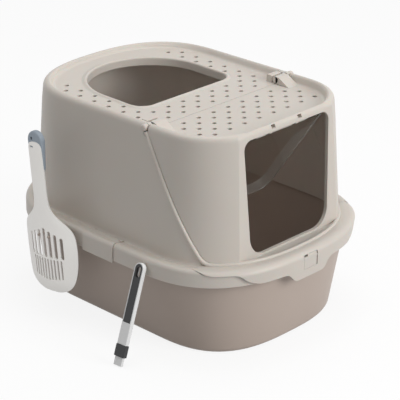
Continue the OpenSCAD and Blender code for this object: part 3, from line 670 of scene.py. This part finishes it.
def makeFrontHood():
    wall = box["wall"]
    foot = box["foot"]
    outer = skin(hoodOuter() + [hoodRing(foot, 0)])
    y, z = box["hinge"]
    front = [(panelY(foot), foot), (panelY(368), 368), (panelY(371), 371), (-225.0, 373.6), (-223.6, 375.9),
             (-221.5, 377.9), (-218.8, 379.3), (-215, 380.2), (-212, 392)]
    back = [(y - 8.6, 392), (y - 8.6, 365.4), (y - 0.4, 364.6), (y - 0.4, 361), (seamY(357) + 3.2, 357),
            (seamY(foot) + 3.2, foot)]
    solid = carve(outer, [acrossBox(front + back)], "INTERSECT")
    behind = [(panelY(100) + wall, 100), (200, 100), (200, 380), (panelY(380) + wall, 380)]
    inside = carve(skin([hoodRing(150, wall)] + cavityRings()), [acrossBox(behind)], "INTERSECT")
    # the plate rises to the lip at the front
    ramp = [(300, 362), (-199, 362), (-199, 363.95), (-203, 364.8), (-206.5, 367), (-216.5, 376.4),
            (-219.5, 378.3), (-223.5, 379.6), (-232, 381), (-232, 400), (300, 400)]
    dish = carve(dishTool(), [acrossBox(ramp)], "INTERSECT")
    frontPlaces = [(u, 0) for u in range(-6, 7, 2)]
    frontPlaces += [(u, -row) for row in (1, 3) for u in range(-7, 8, 2)]
    frontPlaces += [(u, -row) for row in (2, 4) for u in range(-8, 9, 2)]
    shell = carve(solid, [inside, dish, holeTool(frontPlaces, holes["frontY"])])
    slab = [(panelY(160) + 1, 160), (panelY(160) + door["deep"], 160), (panelY(369) + door["deep"], 369),
            (panelY(369) + 1, 369)]
    # thin frame round the inside of the door
    reveal = carve(prism("y", doorOutline(2.2), -260, -200), [prism("x", slab, -120, 120)], "INTERSECT")
    shell = carve(shell, [reveal], "UNION")
    flapY, flapZ, hangX, room = flap["y"], flap["z"], flap["hangX"], flap["half"] + 1
    # pocket in the underside for the flap's top edge when it is wide open
    swing = prism("x", [(flapY + 3, flapZ - 3), (flapY + 3, flapZ + 1), (flapY + 8, flapZ + 1),
                        (flapY + 11.5, flapZ - 1), (flapY + 11.5, flapZ - 3)], -room, room)
    shell = carve(shell, [prism("y", doorOutline(0), -252, -212), swing])
    slot = [(-230, 371.4), (-230, 377), (-217, 377), (-213.6, 371.4)]
    notches = [prism("x", slot, side * hangX - 4.4, side * hangX + 4.4) for side in (-1, 1)]
    path = beadPath()
    beside = bead["radius"] + 0.5
    grooves = [tube(run, bead["groove"], 8, beside, False) for run in (path[1:30], path[-30:-1])]
    shell = carve(shell, notches + grooves)
    shelfRings = [hoodRing(foot, -3.2), hoodRing(foot + 1.8, -3.2), hoodRing(foot + 2.4, -2.6)]
    before = [(-320, 100), (panelY(foot) + wall, 100), (panelY(foot) + wall, 200), (-320, 200)]
    shelf = carve(skin(shelfRings), [acrossBox(before)], "INTERSECT")
    section = soften(apron["face"] + apron["shelf"], 2, closed=False)
    section += [(28, foot + 0.1), (12, 164.6), (5, 163.4)] + apron["back"]
    cover = skin([rimRing(z, inset) for inset, z in section], looped=True)
    cover = carve(carve(cover, [apronPrism(0)], "INTERSECT"), [frontBlock(*latch["window"])])
    parts = [shell, shelf, cover, tube(path, bead["radius"])]
    # hinge ear, latch lug and flap hanger on both sides
    for flip in (False, True):
        ear = prism("x", [(y - 0.4, 365), (y - 33, 363.2), (y - 30, 364.6), (y - 10, z + 4.6),
                          (y - 7, z + 5.6), (y, z + 5.8), (y - 0.2, z)], 137, 161.6, 1.2)
        lug = rod("x", 16, 21, *latch["pin"], latch["pinRadius"])
        for part in [ear, rod("x", 137, 161.6, y, z, 6), lug]:
            parts.append(mirrored(part) if flip else part.copy())
            part.free()
        hangAt = -hangX if flip else hangX
        parts.append(rod("x", hangAt - 3, hangAt + 3, flapY, flapZ, 4))
        parts.append(prism("x", [(flapY - 4, flapZ), (flapY + 4, flapZ), (flapY + 4, flapZ + 4),
                                 (flapY - 2, flapZ + 8), (flapY - 7, flapZ + 8), (flapY - 7, flapZ + 4)],
                           hangAt - 3, hangAt + 3))
    makePiece("frontHood", joined(parts), "front_hood", beigePlastic, ["front_hood"])


makeFrontHood()
print("front hood made")


# Hinge pin with a domed head that shows at the top of each side seam
def makeHingePins():
    profile = [(137.6, 0), (137.6, 2.6), (138, 3), (171.6, 3), (171.6, 5.4), (172, 6), (177.5, 6),
               (179.3, 5.5), (180.5, 4.2), (181, 2.4), (181, 0)]
    y, z = box["hinge"]
    for name, side in (("left", -1), ("right", 1)):
        pin = turned([(side * along, radius) for along, radius in profile], y, z)
        makePiece(name + "HingePin", pin, "rear_hood", beigePlastic, [name + "_hinge_pin"])


makeHingePins()


# Clip over the rim: a grooved shoulder, a straight skirt and a knuckle on its pin
def makeClips():
    edge = box["rim"][0]
    outer = [(edge + 2.3, 135.6), (edge + 2.3, 160), (edge + 1.8, 164.6), (edge - 1, 168), (edge - 5, 169),
             (edge - 10, 169), (clip["axisX"], 167.2)]
    inner = [(clip["axisX"], 164.8), (edge - 9, 166.2), (edge - 4.8, 166.1), (edge - 2, 165),
             (edge - 0.6, 163), (edge - 0.1, 160), (edge - 0.1, 135.6)]
    section = soften(outer, 2, closed=False) + soften(inner, 1, closed=False)
    groove = [(edge - 4.2, 168.4), (edge - 12, 168.4), (edge - 12, 171), (edge - 4.2, 171)]
    for name, side in (("left", -1), ("right", 1)):
        body = prism("y", [(side * x, z) for x, z in section], clip["low"], clip["high"])
        grooves = [prism("y", [(side * x, z) for x, z in groove], y, y + 1.6) for y in range(-36, 16, 6)]
        body = carve(body, grooves)
        axis = side * clip["axisX"]
        knuckle = rod("y", clip["low"] + 5.2, clip["high"] - 5.2, axis, clip["axisZ"], 2.8)
        gap = [(axis - 4.4, 158), (axis + 4.4, 158), (axis + 4.4, 171), (axis - 4.4, 171)]
        gaps = [prism("y", gap, y - 2.6, y + 2.6) for y in (clip["low"] + 2.5, clip["high"] - 2.5)]
        whole = joined([carve(body, gaps), knuckle])
        makePiece(name + "SideClip", whole, name + "_clip", beigePlastic,
                  [name + "_side_clip"])


makeClips()


# Latch: a plate of the apron's own section, with a nick at its upper left
def makeLatch():
    section = soften(apron["face"], 2, closed=False) + [(4, 163.4)] + apron["back"]
    tab = skin([rimRing(z, inset) for inset, z in section], looped=True)
    tab = carve(tab, [frontBlock(*latch["plate"])], "INTERSECT")
    tab = carve(tab, [frontBlock(*latch["nick"])])
    left, right = latch["plate"][:2]
    bar = rod("x", left, right, *latch["pin"], latch["pinRadius"])
    makePiece("frontLatch", joined([tab, bar]), "latch", beigePlastic, ["front_latch"])


makeLatch()
print("clips, latch and hinge pins made")


# Clear flap: a thin sheet with a milky flange down each side and round its foot, its milky white a painted
# highlight, and beige knuckles
def makeFlap():
    half, long, corner, deep = flap["half"], flap["long"], flap["round"], flap["deep"]

    def face(inset):
        r = corner - inset
        low = (arc(-half + corner, -long + corner, r, 180, 270, 12)
               + arc(half - corner, -long + corner, r, 270, 360, 12))
        return low + [(half - inset, -6), (-half + inset, -6)]
    sheet = prism("y", face(0), -1, 1)
    inner = prism("y", [(x, z) if z < -6 else (x, 2) for x, z in face(2)], -1, deep + 1)
    wedge = prism("x", [(-2, -6), (2, -6), (2, -30), (deep, -80), (deep, -260), (-2, -260)], -120, 120)
    flange = carve(carve(prism("y", face(0), 0, deep), [inner]), [wedge], "INTERSECT")
    flange = carve(flange, [prism("y", face(-1), -2, 1)])
    knuckles = []
    for low, high in flap["knuckles"]:
        knuckles.append(prism("x", [(-1, -7), (1, -7), (1, -2), (-1, -2)], low, high))
        knuckles.append(carve(rod("x", low, high, 0, 0, 2.8), [rod("x", low - 1, high + 1, 0, 0, 1.9)]))
    knuckles = joined(knuckles)
    for index, part in ((1, flange), (2, knuckles)):
        for made in part.faces:
            made.material_index = index
    whole = joined([sheet, flange, knuckles])
    swung = Matrix.Rotation(math.radians(flap["rest"]), 4, "X")
    whole.transform(Matrix.Translation((0, flap["y"], flap["z"])) @ swung)
    piece = makePiece("clearFlap", whole, "flap", clearStyrene, ["flap"])
    for plastic in (flangeHighlightStyrene, beigePlastic):
        piece.data.materials.append(plastic)


makeFlap()
print("flap made")

scoop = {
    "x": -219.2,
    "footY": 79,
    "footZ": 46,
    "lean": 7.2,
    "long": 284,
    "radius": 125,  # of the blade's dish
    "bulge": 25,
    "thick": 2.4,
    "half": [(0, 17), (3, 32), (10, 45), (22, 54.5), (45, 60.5), (72, 62.8), (98, 62), (112, 58.5),
             (122, 51), (130, 41), (138, 30), (148, 21), (160, 17), (180, 16.4), (252, 16.4), (260, 15),
             (264.5, 11), (266, 4)],  # (height, half width)
    "dishEnd": 118,  # from here up, over "flatOver", the dish turns into the handle
    "flatOver": 40,
    "grip": 200,
    "gripRadius": 17.5,
    "gripDeep": 12.4,
    "hole": (6.5, 271),
    "slotPitch": 12,
    "slotWide": 6.4,
    "finePitch": 7.2,
    "fineWide": 3.2,
}


def scoopPlace():
    turn = Matrix.Rotation(math.radians(-scoop["lean"]), 4, "X")
    return Matrix.Translation((scoop["x"], scoop["footY"], scoop["footZ"])) @ turn


# How far out the sheet lies at u across and v up: dished at the blade, nearly flat at the handle
def dishX(u, v):
    r = scoop["radius"]
    rise = max(0.0, min(1.0, (v - scoop["dishEnd"]) / scoop["flatOver"]))
    curved = r - scoop["bulge"] - math.sqrt(r * r - u * u)
    flat = -scoop["bulge"] + u * u / 160
    lift = 6 * max(0.0, 1 - v / 26) ** 2
    return mix(curved, flat, rise * rise * (3 - 2 * rise)) + lift


def slotTool(u, low, high, wide):
    r = wide / 2
    points = arc(u, high, r, 0, 180, 8) + arc(u, low, r, 180, 360, 8)
    return prism("x", points, -70, 60)


# Dished blade that runs up into a D-shaped handle
def makeScoop():
    steps = soften(scoop["half"], 2, closed=False)
    bm = bmesh.new()
    across = 40
    bmesh.ops.create_grid(bm, x_segments=across, y_segments=len(steps) - 1, size=1)
    for vert in bm.verts:
        row = round((vert.co.y + 1) / 2 * (len(steps) - 1))
        v, half = steps[row]
        u = vert.co.x * half
        vert.co = (dishX(u, v), u, v)
    bmesh.ops.recalc_face_normals(bm, faces=bm.faces[:])
    outward = sum((f.normal.x for f in bm.faces), 0.0)
    if outward > 0:
        bmesh.ops.reverse_faces(bm, faces=bm.faces[:])
    bmesh.ops.solidify(bm, geom=bm.faces[:], thickness=scoop["thick"])
    bmesh.ops.recalc_face_normals(bm, faces=bm.faces[:])
    wide, fine = scoop["slotWide"], scoop["fineWide"]
    slots = [slotTool(k * scoop["slotPitch"], 66, 112 - abs(k) * 4.6, wide) for k in range(-3, 4)]
    slots += [slotTool((k - 4.5) * scoop["finePitch"], 23 + abs(k - 4.5), 59, fine) for k in range(10)]
    # short level slot near the top of the handle
    v = scoop["half"][-1][0] - 9
    slots.append(prism("x", arc(4, v, 1.4, 90, 270, 6) + arc(10, v, 1.4, -90, 90, 6), -31, -10))
    blade = carve(bm, [joined(slots)])
    roundEdges(blade, 0.5, 60)
    blade.transform(scoopPlace())
    return makePiece("scoopBlade", blade, "scoop", scoopPlastic, ["scoop_blade"])


# Soft grip over the top of the handle, thinner towards its lower end
def makeGrip():
    radius, low = scoop["gripRadius"], scoop["grip"]
    top = scoop["long"] - radius
    front = 2 - scoop["bulge"]
    outer = [(-9, low), (9, low), (17, low + 22)] + arc(0, top, radius, 0, 180, 20) + [(-17, low + 22)]
    grip = prism("x", outer, front, scoop["gripDeep"] - scoop["bulge"])
    roundEdges(grip, 3)
    for vert in grip.verts:
        vert.co.x = front + (vert.co.x - front) * min(1.0, 0.3 + 0.7 * (vert.co.z - low) / 62)
    grip = carve(grip, [rod("x", -60, 20, *scoop["hole"], 2.6, 32)])
    grip.transform(scoopPlace())
    return makePiece("scoopGrip", grip, "scoop", gripRubber, ["scoop_grip"])


scoopPieces = [makeScoop(), makeGrip()]
print("scoop made")

brush = {
    "foot": (-288.2, -128, 3),
    "tilt": 21.4,
    "side": -3,
    "wide": 20,
    "thick": 8,
    "long": 172,
    "band": (15, 35),  # low and high; the tip is below it and the body above
    "insertLow": 70,
}


def brushPlace():
    tilt = Matrix.Rotation(math.radians(brush["tilt"]), 4, "Y")
    side = Matrix.Rotation(math.radians(brush["side"]), 4, "X")
    return Matrix.Translation(brush["foot"]) @ tilt @ side


# Stadium standing on a flat foot, as (across, along) points
def brushShape(inset, low, high):
    r = brush["wide"] / 2 - inset
    return arc(0, high - brush["wide"] / 2, r, 0, 180, 20) + [(-r, low + inset), (r, low + inset)]


# Hang hole near the top, through the body and the insert
def brushWindow(radius):
    long = brush["long"]
    return prism("x", arc(0, long - 11, radius, 0, 180, 14) + arc(0, long - 20, radius, 180, 360, 14), -2, 20)


def makeBrush():
    long, thick, insertLow = brush["long"], brush["thick"], brush["insertLow"]
    low, high = brush["band"]
    hollow = prism("x", brushShape(2, insertLow, long), -1, thick - 2)
    body = carve(prism("x", brushShape(0, high, long), 0, thick, 1.2), [hollow, brushWindow(4.4)])
    insert = prism("x", brushShape(2.2, insertLow, long), 0.4, thick - 2.8, 0.5)
    insert = carve(insert, [brushWindow(4.6)])
    half, grow, shrink = brush["wide"] / 2, 0.6, 1.4
    band = prism("z", [(-grow, -half - grow), (thick + grow, -half - grow), (thick + grow, half + grow),
                       (-grow, half + grow)], low, high, 1)
    tip = prism("z", [(shrink, shrink - half), (thick - shrink, shrink - half),
                      (thick - shrink, half - shrink), (shrink, half - shrink)], 0.2, low, 0.8)
    pieces = (("brushBody", body, whiteAbs, "brush_white", "brush_body"),
              ("brushInsert", insert, blackAbs, "brush_black", "brush_insert"),
              ("brushBand", band, blackAbs, "brush_black", "brush_band"),
              ("brushTip", tip, whiteAbs, "brush_white", "brush_tip"))
    for name, bm, material, slot, node in pieces:
        bm.transform(brushPlace())
        makePiece(name, bm, "brush", material, [node])


makeBrush()
print("brush made")

# Small hidden solids keep their own meshes. The scoop hook takes the darker taupe as painted shade, so
# through the scoop's slots it reads as the shade behind the blade
carried = {"flap_axle": beigePlastic, "left_clip_pin": beigePlastic, "right_clip_pin": beigePlastic,
           "front_latch_pin": beigePlastic, "scoop_hook": taupePlastic}
for node, plastic in carried.items():
    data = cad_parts[node].data
    data.materials.clear()
    data.materials.append(plastic)

studio = {"ambient": "#ADADAD", "floor": "#BDBDBD", "floorGlow": 0.86}


# 1 where a camera, glossy or transmission ray looks, 0 for the rays that light the object
def lookedAt(tree):
    path = addNode(tree, "ShaderNodeLightPath")
    either = addNode(tree, "ShaderNodeMath", {"operation": "MAXIMUM"},
                     {0: path.outputs["Is Camera Ray"], 1: path.outputs["Is Glossy Ray"]})
    return addNode(tree, "ShaderNodeMath", {"operation": "MAXIMUM"},
                   {0: either.outputs[0], 1: path.outputs["Is Transmission Ray"]}).outputs[0]


# White paper: the eye sees it near white with a faint shadow, the object gets a greyer bounce
def makeFloor():
    bm = bmesh.new()
    bmesh.ops.create_grid(bm, x_segments=1, y_segments=1, size=6)
    floor = asObject(bm, "floor")
    material = bpy.data.materials.new("matt paper, white")
    material.use_nodes = True
    tree = material.node_tree
    tree.nodes.clear()
    grey = addNode(tree, "ShaderNodeBsdfDiffuse", {"Color": linear(studio["floor"])})
    paper = addNode(tree, "ShaderNodeBsdfDiffuse", {"Color": linear("#FFFFFF")})
    glow = addNode(tree, "ShaderNodeEmission", {"Color": linear("#FFFFFF"), "Strength": 1.0})
    white = addNode(tree, "ShaderNodeMixShader", {0: studio["floorGlow"]},
                    {1: paper.outputs[0], 2: glow.outputs[0]})
    seen = addNode(tree, "ShaderNodeMixShader", None,
                   {0: lookedAt(tree), 1: grey.outputs[0], 2: white.outputs[0]})
    addNode(tree, "ShaderNodeOutputMaterial", None, {"Surface": seen.outputs[0]})
    floor.data.materials.append(material)


def makeWorld():
    world = bpy.data.worlds.new("studio")
    world.use_nodes = True
    tree = world.node_tree
    tree.nodes.clear()
    dim = addNode(tree, "ShaderNodeBackground", {"Color": linear(studio["ambient"]), "Strength": 1.0})
    white = addNode(tree, "ShaderNodeBackground", {"Color": linear("#FFFFFF"), "Strength": 1.0})
    both = addNode(tree, "ShaderNodeMixShader", None,
                   {0: lookedAt(tree), 1: dim.outputs[0], 2: white.outputs[0]})
    addNode(tree, "ShaderNodeOutputWorld", None, {"Surface": both.outputs[0]})
    bpy.context.scene.world = world


# A light with a list of pieces lights only those
def makeLight(name, place, target, size, power, pieces=()):
    data = bpy.data.lights.new(name, "AREA")
    data.size = size
    data.energy = power
    light = bpy.data.objects.new(name, data)
    bpy.context.scene.collection.objects.link(light)
    light.location = place
    light.rotation_euler = (Vector(target) - Vector(place)).to_track_quat("-Z", "Y").to_euler()
    if pieces:
        lit = bpy.data.collections.new(name + " receivers")
        for piece in pieces:
            lit.objects.link(piece)
        light.light_linking.receiver_collection = lit


makeFloor()
makeWorld()
makeLight("key", (0.7, -3.0, 1.6), (0, -0.1, 0.2), 1.6, 56)
makeLight("top", (0.2, 0.3, 3.0), (0, 0, 0.3), 1.8, 28)
makeLight("side", (-2.6, -0.6, 1.1), (-0.1, 0, 0.2), 1.2, 22, scoopPieces)
bpy.context.scene.view_settings.view_transform = "Standard"
print("studio lit")

bpy.context.view_layer.update()
